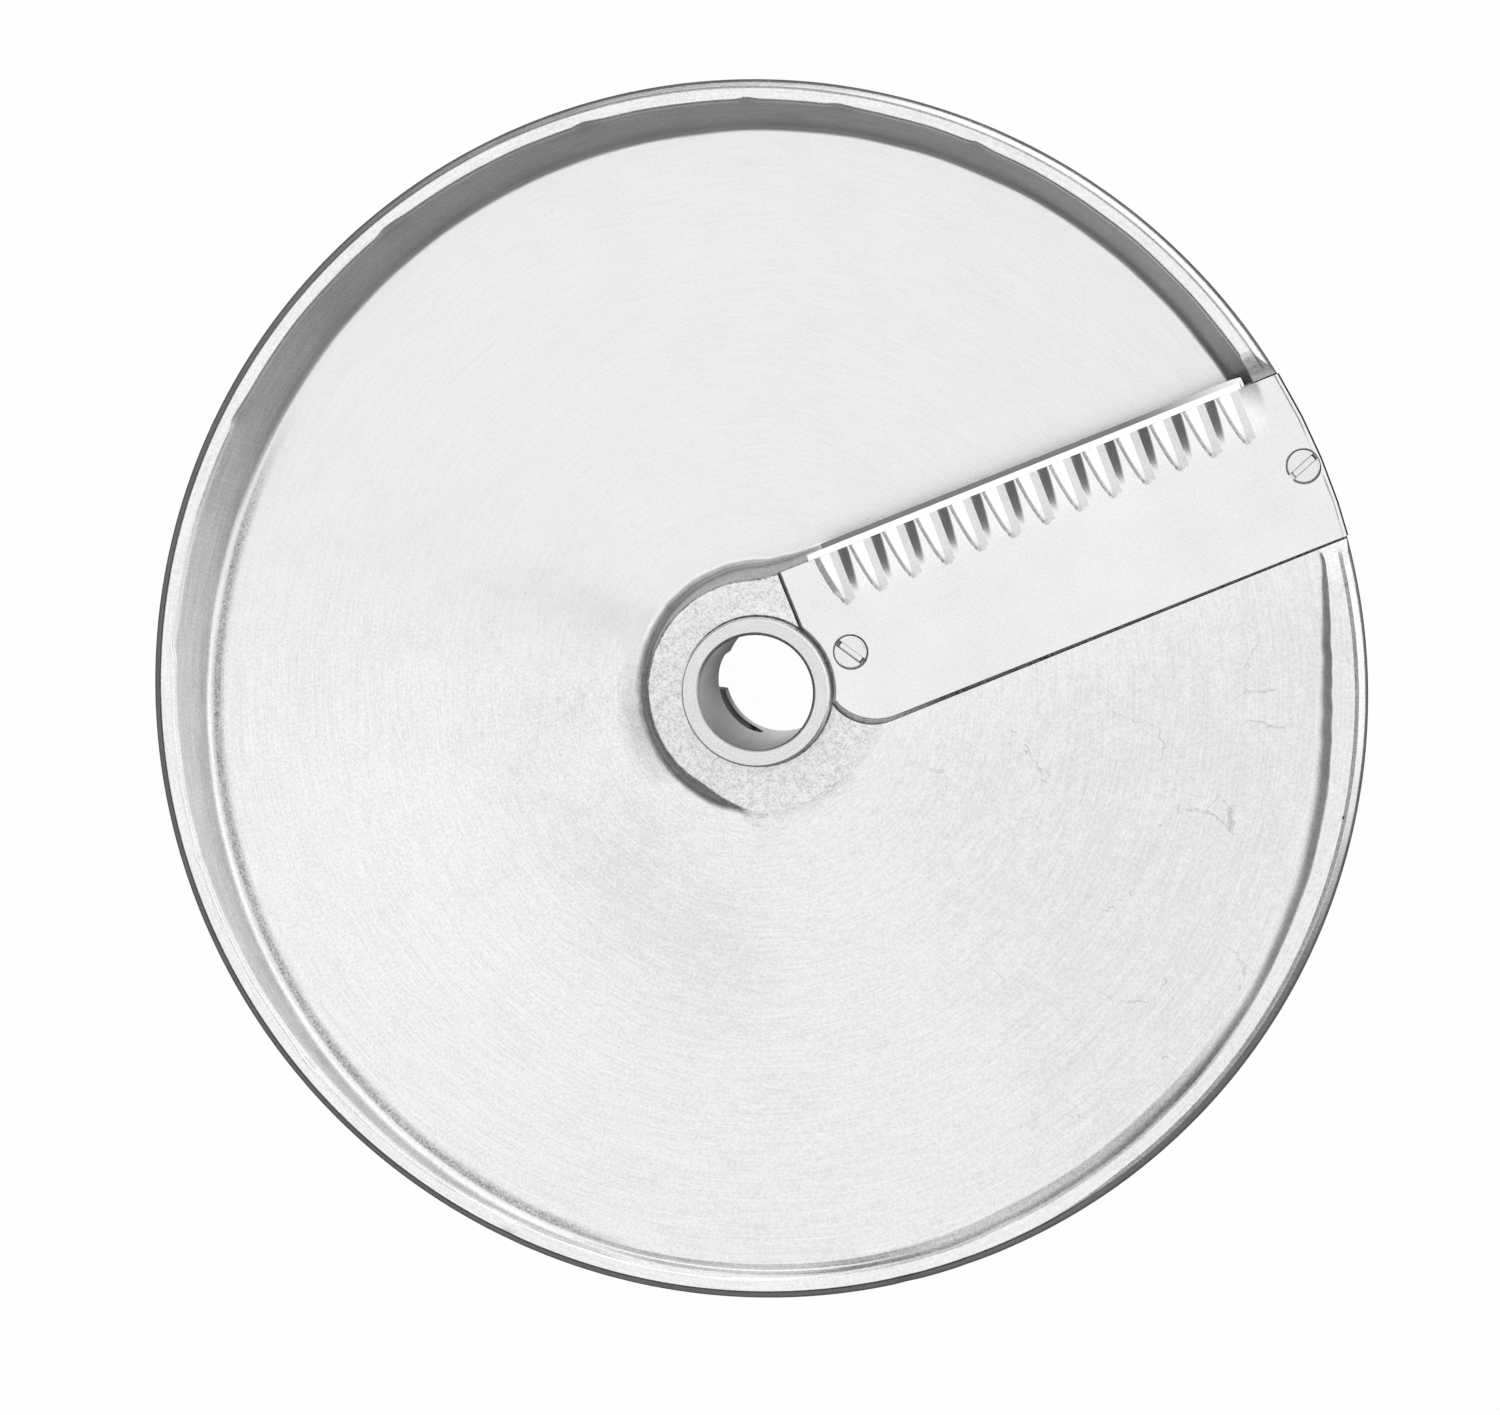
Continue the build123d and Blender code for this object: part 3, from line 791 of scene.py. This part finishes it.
# Casting's colour: grain, lines, strokes, flow lines and pits, with painted shade in the gap, at the pad's
# foot, on the toe lines, the ring and beside the hub
cast_tint_and_shade = total(
    tree,
    (with_gap_shade, 1.0),
    (skin_grain["Cloud"], 0.16),
    (times(tree, texture, rubbed), 1.0),
    (times(tree, on_pad, pad_grain["Cloud"]), 0.55),
    (times(tree, on_pad, pad_grain["Speck"]), 0.8),
    (on_pad, -0.01),
    (times(tree, in_toe, pad_grain["Speck"]), 0.9),
    (in_toe, -0.42),
    (toe_shade_pair, -0.36),
    (back_toe_shade, -0.36),
    (shade_ring, -0.5),
    (flow_lines, -0.2),
    (high_floor, -0.04),
    (shade_by_hub, -0.085),
    (pits, -0.4),
)
rough = total(
    tree,
    (shifted(tree, cast_skin_and_shade, brushed_rough, cast_rough), 1.0),
    (on_rim, rim_rough - brushed_rough),
    (on_pad, 0.06),
    (skin_grain["Cloud"], 0.14),
    (skin_grain["Speck"], 0.1),
)
height = total(
    tree,
    (skin_grain["Speck"], 0.5),
    (arcs["Lines"], 0.5),
    (times(tree, on_pad, pad_grain["Cloud"]), 2.6),
    (times(tree, on_pad, pad_grain["Speck"]), 1.6),
    (times(tree, cast_skin_and_shade, pad_grain["Speck"]), 0.8),
)
dress(tree, shader, cast_tint_and_shade, rough, height, relief_depth)
casting.data.materials.append(aluminium)

# Hub bush
# Steel bush, turned and then pressed into the casting's boss, with two bayonet slots milled through
# its wall for the drive shaft's cross pin.
weld_gap = 0.002 * MM
flat_limit, corner_limit = math.radians(0.02), math.radians(25)
bush_break = 0.05 * MM


def merged_copy(cad_node, name, soften):
    """Copy of a CAD node as one skin, with its sharp edges broken by a small round."""
    skin = bmesh.new()
    skin.from_mesh(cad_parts[cad_node].data)
    bmesh.ops.remove_doubles(skin, verts=skin.verts, dist=weld_gap)
    bmesh.ops.dissolve_limit(skin, angle_limit=flat_limit, verts=skin.verts, edges=skin.edges)
    sharp = [edge for edge in skin.edges if edge.is_manifold and edge.calc_face_angle() > corner_limit]
    bevel(skin, sharp, soften, "EDGES", 2, clamp=True)
    bmesh.ops.scale(skin, verts=skin.verts, vec=(1 / MM, 1 / MM, 1 / MM))
    return solid(name, skin)


bush = merged_copy("hub_bush", "turned_bush", bush_break)
finish_skin(bush)
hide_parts("hub_bush")
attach(bush, "root")

steel_grey, bore_shade_grey = 0.82, 0.42
steel_rough, bore_rough = 0.33, 0.3
bush_steel, tree, shader, coords = metal_surface("turned_steel")
place = coords["Object"]
spot = node(tree, "SeparateXYZ", place).outputs
face_lines = place_effect(tree, turning, place, Lines_per_Metre=5200.0, Breaks_per_Turn=3.0)
steel_grain = place_effect(tree, grain, place, Cloud_Scale=220.0, Speck_Scale=3200.0)
up_wall = node(tree, "CombineXYZ", 0.0, 0.0, times(tree, spot["Z"], 2600.0)).outputs[0]
wall_lines = node(tree, "TexNoise", up_wall, None, 1.0, 2.0, 0.6).outputs["Fac"]
# Painted shade: the bore's wall is painted a darker grey than the turned face
in_bore = step_mask(tree, face_lines["Radius"], 0.01025, 0.0099)
bush_tint = total(
    tree,
    (shifted(tree, in_bore, steel_grey, bore_shade_grey), 1.0),
    (face_lines["Lines"], 0.25),
    (steel_grain["Speck"], 0.4),
    (steel_grain["Cloud"], 0.12),
    (times(tree, in_bore, wall_lines), 0.3),
)
bush_rough = total(tree, (shifted(tree, in_bore, steel_rough, bore_rough), 1.0), (steel_grain["Cloud"], 0.12))
bush_height = total(
    tree,
    (face_lines["Lines"], 0.8),
    (steel_grain["Speck"], 0.4),
    (times(tree, in_bore, wall_lines), 1.2),
)
dress(tree, shader, bush_tint, bush_rough, bush_height, relief_depth)
bush.data.materials.append(bush_steel)

# Fluted blade
# Stainless blade stamped from strip: flat underneath, with a ground bevel along its edge and a row of
# flutes pressed in behind it. It lies in the casting's pocket, under two screws.
blade_outline = (
    (11, -12.3), (101.75, -12.3), (102.3, -6.5), (102.49, 1.2), (102.1, 9.0), (101.08, 17),
    (94.4, 17), (94.4, 18), (16, 18), (16, 17), (11, 17),
)
blade_corner, blade_corner_steps = 9.0, 14
outer_break, outer_limit = 0.8, 101
back_break, back_limit = 0.15, -12.2
inner_limit, inner_front = 21, 16.9
blade = drawn_out(
    "ground_blade",
    [(x, y, seat_level) for x, y in blade_outline],
    (0, 0, blade_top - seat_level),
    rounded=(0, blade_corner, blade_corner_steps),
    eased_edges=(
        (outer_break, lambda spot: spot.x > outer_limit),
        (back_break, lambda spot: spot.y < back_limit or spot.x < inner_limit and spot.y < inner_front),
    ),
)
hub_cut_radius, hub_cut_foot, hub_cut_height = 13.2, 20, 20
hub_cut = round_tool("hub_cut", (0, 0), hub_cut_foot, hub_cut_height, hub_cut_radius, hub_cut_radius, 160)
carve(blade, hub_cut, "DIFFERENCE")

flute_back, bevel_back, edge_line = 7.9, 16.95, 18.0
bevel_level = 30.28
first_flute, flute_pitch, flute_count = 20.45, 6.045, 13
half_floor, flute_end = 0.72, 94.5
run_out_power, least_depth = 1.25, 0.001
left_run_least, left_run_more, left_run_power = 0.8, 1.1, 1.1
right_run_least, right_run_more, last_run = 1.05, 0.85, 4.0
shoulder_drop, shoulder_slope, shoulder_blend, first_shoulder = 0.13, 0.2, 0.03, 1.7
round_least, round_more, round_power = 0.01, 0.22, 0.7
land_level = blade_top + 0.012


def softened(level, blend):
    """Height of a flute's wall where it rounds over to the lands."""
    gap = level - land_level
    if gap > blend:
        return land_level
    if gap < -blend:
        return level
    return level - (gap + blend) ** 2 / (4 * blend)


def flute_level(x, y):
    """Height of the fluted band: ground flutes that run out in an arc, with a soft shoulder on their left."""
    share = (bevel_back - y) / (bevel_back - flute_back)
    full = blade_top - bevel_level
    depth = max(full * (1 - share ** run_out_power), least_depth)
    left_run = left_run_least + left_run_more * (depth / full) ** left_run_power
    right_run = right_run_least + right_run_more * depth / full
    drop = min(shoulder_drop, depth / 2)
    left_level = right_level = blade_top + 1.0
    for index in range(flute_count):
        offset = x - first_flute - index * flute_pitch
        run = left_run if offset < 0 else right_run
        if index == flute_count - 1 and offset > 0:
            run = last_run
        beyond = max(abs(offset) - half_floor, 0.0)
        wall = blade_top - depth + beyond * depth / run
        if offset < 0:
            dip = min(first_shoulder * drop, depth / 2) if index == 0 else drop
            past = beyond - run * (1 - dip / depth)
            left_level = min(left_level, wall, blade_top - dip + past * shoulder_slope)
        else:
            right_level = min(right_level, wall)
    round_over = round_least + round_more * (depth / full) ** round_power
    return min(softened(left_level, shoulder_blend), softened(right_level, round_over))


# Cutter for the fluted band: fine lines along the blade, and columns that follow each flute
bevel_crease, past_edge, edge_thickness, tool_top = 0.02, 0.3, 0.08, 34
band_start, band_end = (15.9, 17.3, 6), (96.02, 98.9, 14)
band_rows, left_columns, floor_columns, right_columns = 36, 25, 5, 15
band = bmesh.new()
band_lines = spread(flute_back, bevel_back - bevel_crease, band_rows)
band_lines += [bevel_back, edge_line - bevel_crease, edge_line + past_edge]
flute_columns = spread(-flute_pitch / 2, -half_floor, left_columns)[:-1]
flute_columns += spread(-half_floor, half_floor, floor_columns)
flute_columns += spread(half_floor, flute_pitch / 2, right_columns)[1:-1]
band_columns = spread(*band_start)
for index in range(flute_count):
    band_columns += [first_flute + index * flute_pitch + offset for offset in flute_columns]
band_columns += spread(*band_end)
bmesh.ops.create_grid(band, x_segments=len(band_columns) - 1, y_segments=len(band_lines) - 1, size=0.5)
for corner in band.verts:
    column = round((corner.co.x + 0.5) * (len(band_columns) - 1))
    line = round((corner.co.y + 0.5) * (len(band_lines) - 1))
    x, y = band_columns[column], band_lines[line]
    if y < bevel_back:
        level = flute_level(x, y)
    elif x > flute_end:
        level = land_level
    elif y < edge_line - bevel_crease:
        level = bevel_level
    else:
        level = seat_level + edge_thickness
    corner.co = (x, y, level)
upper = bmesh.ops.extrude_face_region(band, geom=band.faces[:])["geom"]
for corner in [item for item in upper if isinstance(item, bmesh.types.BMVert)]:
    corner.co.z = tool_top
carve(blade, solid("flute_tool", band), "DIFFERENCE")
head_foot, sink_radius, sink_depth, blade_sharp_edge = 30.18, 1.75, 2.4, 18
for place in screw_spots:
    sink = round_tool(
        "countersink", place, head_foot, sink_depth, sink_radius, sink_radius + sink_depth, 64
    )
    carve(blade, sink, "DIFFERENCE")
finish_skin(blade, blade_sharp_edge)
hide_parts("fluted_blade")
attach(blade, "root")

blade_grey, blade_gap_shade_grey = 0.845, 0.2
blade_rough, blade_gap_rough = 0.19, 0.4
strip_room, blade_relief_depth = 0.03, 0.00001
blade_steel, tree, shader, coords = metal_surface("ground_stainless")
place = coords["Object"]
spot = node(tree, "SeparateXYZ", place).outputs
facing = node(tree, "SeparateXYZ", coords["Normal"]).outputs
upright = facing["Z"]
steel_grain = place_effect(tree, grain, place, Cloud_Scale=70.0, Speck_Scale=2600.0)
strokes = place_effect(
    tree, scratching, place, Turn=0.0, Spacing_Scale=3000.0, Length_Scale=90.0, Share=0.4
)["Scratches"]
# Painted shade: the blade's steep faces, its sides in the gap, are painted dark
in_shaded_gap = step_mask(tree, upright, 0.76, 0.55)
from_first = node(tree, "Math", spot["X"], first_flute * MM, operation="SUBTRACT").outputs[0]
half_pitch = flute_pitch / 2 * MM
off_centre = node(tree, "Math", from_first, half_pitch, -half_pitch, operation="WRAP").outputs[0]
# Painted shade: the floors at the bottom of the flutes are painted darker
flute_floor_shade = times(
    tree,
    near(tree, off_centre, 0.0, (half_floor + strip_room) * MM),
    step_mask(tree, upright, 0.9, 0.95),
    step_mask(tree, spot["Z"], 0.03147, 0.0314),
)
on_band = times(
    tree,
    step_mask(tree, spot["Y"], 0.0075, 0.0115),
    band_mask(tree, spot["X"], 0.0165, 0.0195, 0.0945, 0.0975),
)
# Painted shade: flute walls that face -X are painted darker
right_wall_shade = step_mask(tree, facing["X"], -0.25, -0.4)
blade_tint = total(
    tree,
    (shifted(tree, in_shaded_gap, blade_grey, blade_gap_shade_grey), 1.0),
    (steel_grain["Cloud"], 0.2),
    (steel_grain["Speck"], 0.22),
    (strokes, 0.04),
    (flute_floor_shade, -0.18),
    (on_band, 0.07),
    (right_wall_shade, -0.22),
)
blade_finish = total(
    tree,
    (shifted(tree, in_shaded_gap, blade_rough, blade_gap_rough), 1.0),
    (steel_grain["Cloud"], 0.1),
    (steel_grain["Speck"], 0.06),
)
blade_relief = total(tree, (steel_grain["Speck"], 0.4), (strokes, -0.15))
dress(tree, shader, blade_tint, blade_finish, blade_relief, blade_relief_depth)
blade.data.materials.append(blade_steel)

# Blade screws
# Two slotted countersunk steel screws, turned, that hold the blade's ends down flush with its top.
slot_angles = (-58, 20)
screw_steps, head_steps, screw_weld = 64, 4, 0.001
head_face, head_round, head_corner = 2.3, 2.5, 2.72
head_edge, head_edge_drop = 2.78, 0.2
shank_radius, shank_foot = 1.5, 24.5
slot_reach = 4
slot_profile = ((-0.5, -0.75), (0.5, -0.75), (0.5, -0.12), (0.64, 0.1), (-0.64, 0.1), (-0.5, -0.12))
screws = None
for place, slot_angle in zip(screw_spots, slot_angles):
    turned = bmesh.new()
    outline = [(0, blade_top), (head_face, blade_top)]
    head_rim = ((head_round, blade_top), (head_corner, blade_top), (head_edge, blade_top - head_edge_drop))
    outline += eased(*head_rim, head_steps)
    outline += [(shank_radius, head_foot), (shank_radius, shank_foot), (0, shank_foot)]
    corners = [turned.verts.new((radius, 0, height)) for radius, height in outline]
    lines = [turned.edges.new(pair) for pair in zip(corners, corners[1:])]
    spin_round(turned, corners + lines, screw_steps)
    bmesh.ops.remove_doubles(turned, verts=turned.verts, dist=screw_weld)
    screw = solid("slotted_screws", turned)
    slot = drawn_out(
        "slot",
        [(-slot_reach, across, blade_top + rise) for across, rise in slot_profile],
        (2 * slot_reach, 0, 0),
    )
    carve(screw, slot, "DIFFERENCE")
    screw.data.transform(
        Matrix.Translation(Vector((*place, 0)) * MM) @ Matrix.Rotation(math.radians(slot_angle), 4, "Z")
    )
    screws = carve(screws, screw, "UNION") if screws else screw
screws.name = screws.data.name = "slotted_screws"
finish_skin(screws)
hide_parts("blade_screws")
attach(screws, "root")

head_grey, slot_shade_grey = 0.84, 0.3
head_rough, slot_rough = 0.24, 0.4
screw_steel, tree, shader, coords = metal_surface("turned_screw_steel")
place = coords["Object"]
upright = node(tree, "SeparateXYZ", coords["Normal"]).outputs["Z"]
steel_grain = place_effect(tree, grain, place, Cloud_Scale=500.0, Speck_Scale=3600.0)
# Painted shade: the slot's steep walls are painted dark
in_shaded_slot = step_mask(tree, upright, 0.8, 0.5)
screw_tint = total(
    tree,
    (shifted(tree, in_shaded_slot, head_grey, slot_shade_grey), 1.0),
    (steel_grain["Cloud"], 0.16),
    (steel_grain["Speck"], 0.08),
)
screw_rough = total(tree, (shifted(tree, in_shaded_slot, head_rough, slot_rough), 1.0), (steel_grain["Cloud"], 0.15))
screw_relief = total(tree, (steel_grain["Cloud"], 1.0), (steel_grain["Speck"], 0.6))
dress(tree, shader, screw_tint, screw_rough, screw_relief, relief_depth)
screws.data.materials.append(screw_steel)

# Table, light and camera
# A round white table with a painted shadow under the disc, painted darker still where metal reflects it, and
# a painted glow under the bore; a soft dome that is bright overhead and on the key side and dark opposite;
# and a long lens that looks down almost along the bore.
table_radius, table_rough = 240, 0.9
shade_reach = 0.1
# Painted shadow: the table is dark grey under the disc, white under the bore and beyond the rim
table_shadow_greys = ((0.0, 1.0), (0.115, 1.0), (0.14, 0.22), (0.72, 0.22), (0.98, 1.0), (1.0, 1.0))
reflected_shade_grey, table_glow = 0.12, 0.98
bore_reach, bore_lit_way = 0.0115, (0.141, -0.99, 0)
table = bmesh.new()
bmesh.ops.create_circle(table, cap_ends=True, segments=128, radius=table_radius)
floor = solid("table_top", table)


def set_greys(ramp, stops):
    """Give a colour ramp its grey levels, from its first stop to its last."""
    ramp.elements[0].position, ramp.elements[1].position = stops[0][0], stops[-1][0]
    for position, _ in stops[1:-1]:
        ramp.elements.new(position)
    for element, (_, grey) in zip(ramp.elements, stops):
        element.color = (grey, grey, grey, 1)


def blend(tree, kind, share, first, second):
    """Mix of two colours."""
    skipped = (None,) * 5
    return node(tree, "Mix", share, *skipped, first, second, data_type="RGBA", blend_type=kind).outputs[2]


paint = bpy.data.materials.new("table_white")
paint.use_nodes = True
tree = paint.node_tree
matt = tree.nodes["Principled BSDF"]
matt.inputs["Roughness"].default_value = table_rough
place = node(tree, "TexCoord").outputs["Object"]
reach = node(tree, "VectorMath", place, operation="LENGTH").outputs["Value"]
stretch = node(tree, "Math", reach, shade_reach, operation="DIVIDE")
shade = node(tree, "ValToRGB", stretch.outputs["Value"])
shade.color_ramp.interpolation = "EASE"
set_greys(shade.color_ramp, table_shadow_greys)
ray = node(tree, "LightPath").outputs
# Painted shade: to glossy rays the table is painted darker
dark = (reflected_shade_grey, reflected_shade_grey, reflected_shade_grey, 1)
shaded_in_reflections = blend(tree, "MULTIPLY", ray["Is Glossy Ray"], shade.outputs["Color"], dark)
tree.links.new(shaded_in_reflections, matt.inputs["Base Color"])
glow = node(tree, "Emission", shade.outputs["Color"])
seen = node(tree, "Math", ray["Is Camera Ray"], ray["Is Transmission Ray"], operation="MAXIMUM").outputs[0]
# Painted light: under the bore the table glows for glossy rays, brighter on one side, as light falling into
# the bore
bore_side = node(tree, "VectorMath", place, bore_lit_way, operation="DOT_PRODUCT").outputs["Value"]
bore_light = node(tree, "MapRange", bore_side, -0.003, 0.006, 0.15, 0.8).outputs["Result"]
under_bore = node(tree, "Math", reach, bore_reach, operation="LESS_THAN").outputs[0]
bore_glow = times(tree, under_bore, bore_light, ray["Is Glossy Ray"])
part_glow = total(tree, (seen, table_glow), (bore_glow, 1.0))
mixed = node(tree, "MixShader", part_glow, matt.outputs["BSDF"], glow.outputs["Emission"])
tree.links.new(mixed.outputs["Shader"], tree.nodes["Material Output"].inputs["Surface"])
floor.data.materials.append(paint)

lean = math.radians(9.5)
lean_side = math.radians(13.1)
key_side, key_rise, panel_rise = math.radians(60), math.radians(60), math.radians(14)
dome_greys = (
    (0.5, 0.13), (0.585, 0.14), (0.665, 0.19), (0.725, 0.33), (0.78, 0.65), (0.835, 1.0), (1.0, 1.0),
)
panel_edge, panel_full, panel_light = 0.36, 0.66, 0.95
lens_edge, lens_full, lens_dark = 0.984, 0.9965, 0.1
low_sky, high_sky, low_sky_gain = 0.45, 0.85, 1.22
sky_strength = 1.03
world = bpy.data.worlds.new("studio_dome")
scene.world = world
world.use_nodes = True
tree = world.node_tree
sky = node(tree, "TexCoord").outputs["Generated"]


def facing_point(azimuth, elevation):
    """How near each direction lies to a point of the dome, from the point's angles in radians."""
    point = Vector((
        math.cos(elevation) * math.cos(azimuth),
        math.cos(elevation) * math.sin(azimuth),
        math.sin(elevation),
    ))
    return node(tree, "VectorMath", sky, point, operation="DOT_PRODUCT").outputs["Value"]


half = node(tree, "MapRange", facing_point(key_side, key_rise), -1.0)
tone = node(tree, "ValToRGB", half.outputs["Result"])
set_greys(tone.color_ramp, dome_greys)
panel = node(tree, "MapRange", facing_point(lean_side, panel_rise), panel_edge, panel_full, 0.0, panel_light)
above = blend(tree, "LIGHTEN", 1.0, tone.outputs["Color"], panel.outputs["Result"])
by_lens = step_mask(tree, facing_point(lean_side, math.pi / 2 - lean), lens_edge, lens_full)
rise = node(tree, "SeparateXYZ", sky).outputs["Z"]
sides = node(tree, "MapRange", rise, low_sky, high_sky, low_sky_gain, 1.0).outputs["Result"]
dome = blend(tree, "MULTIPLY", 1.0, above, times(tree, shifted(tree, by_lens, 1.0, lens_dark), sides))
white = (1 / sky_strength, 1 / sky_strength, 1 / sky_strength, 1)
backdrop = blend(tree, "MIX", node(tree, "LightPath").outputs["Is Camera Ray"], dome, white)
tree.links.new(backdrop, tree.nodes["Background"].inputs["Color"])
tree.nodes["Background"].inputs["Strength"].default_value = sky_strength

turn = math.radians(-21.9)
eye_distance = 2.5
pixels_wide = 1500
sensor_wide = 36
pixels_per_mm = 5.987
hub_offset = (5.2, 14.6)
bush_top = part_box("hub_bush")[1].z

tip = Matrix.Rotation(lean, 3, Vector((-math.sin(lean_side), math.cos(lean_side), 0)))
right = tip @ Vector((math.cos(turn), math.sin(turn), 0))
up = tip @ Vector((-math.sin(turn), math.cos(turn), 0))
back = tip @ Vector((0, 0, 1))
aim = Vector((0, 0, bush_top)) - MM / pixels_per_mm * (hub_offset[0] * right + hub_offset[1] * up)
lens = bpy.data.cameras.new("long_lens")
lens.sensor_width = sensor_wide
lens.lens = pixels_per_mm * eye_distance / MM * sensor_wide / pixels_wide
eye = bpy.data.objects.new("long_lens", lens)
scene.collection.objects.link(eye)
eye.matrix_world = Matrix((right, up, back)).transposed().to_4x4()
eye.location = aim + eye_distance * back
scene.camera = eye
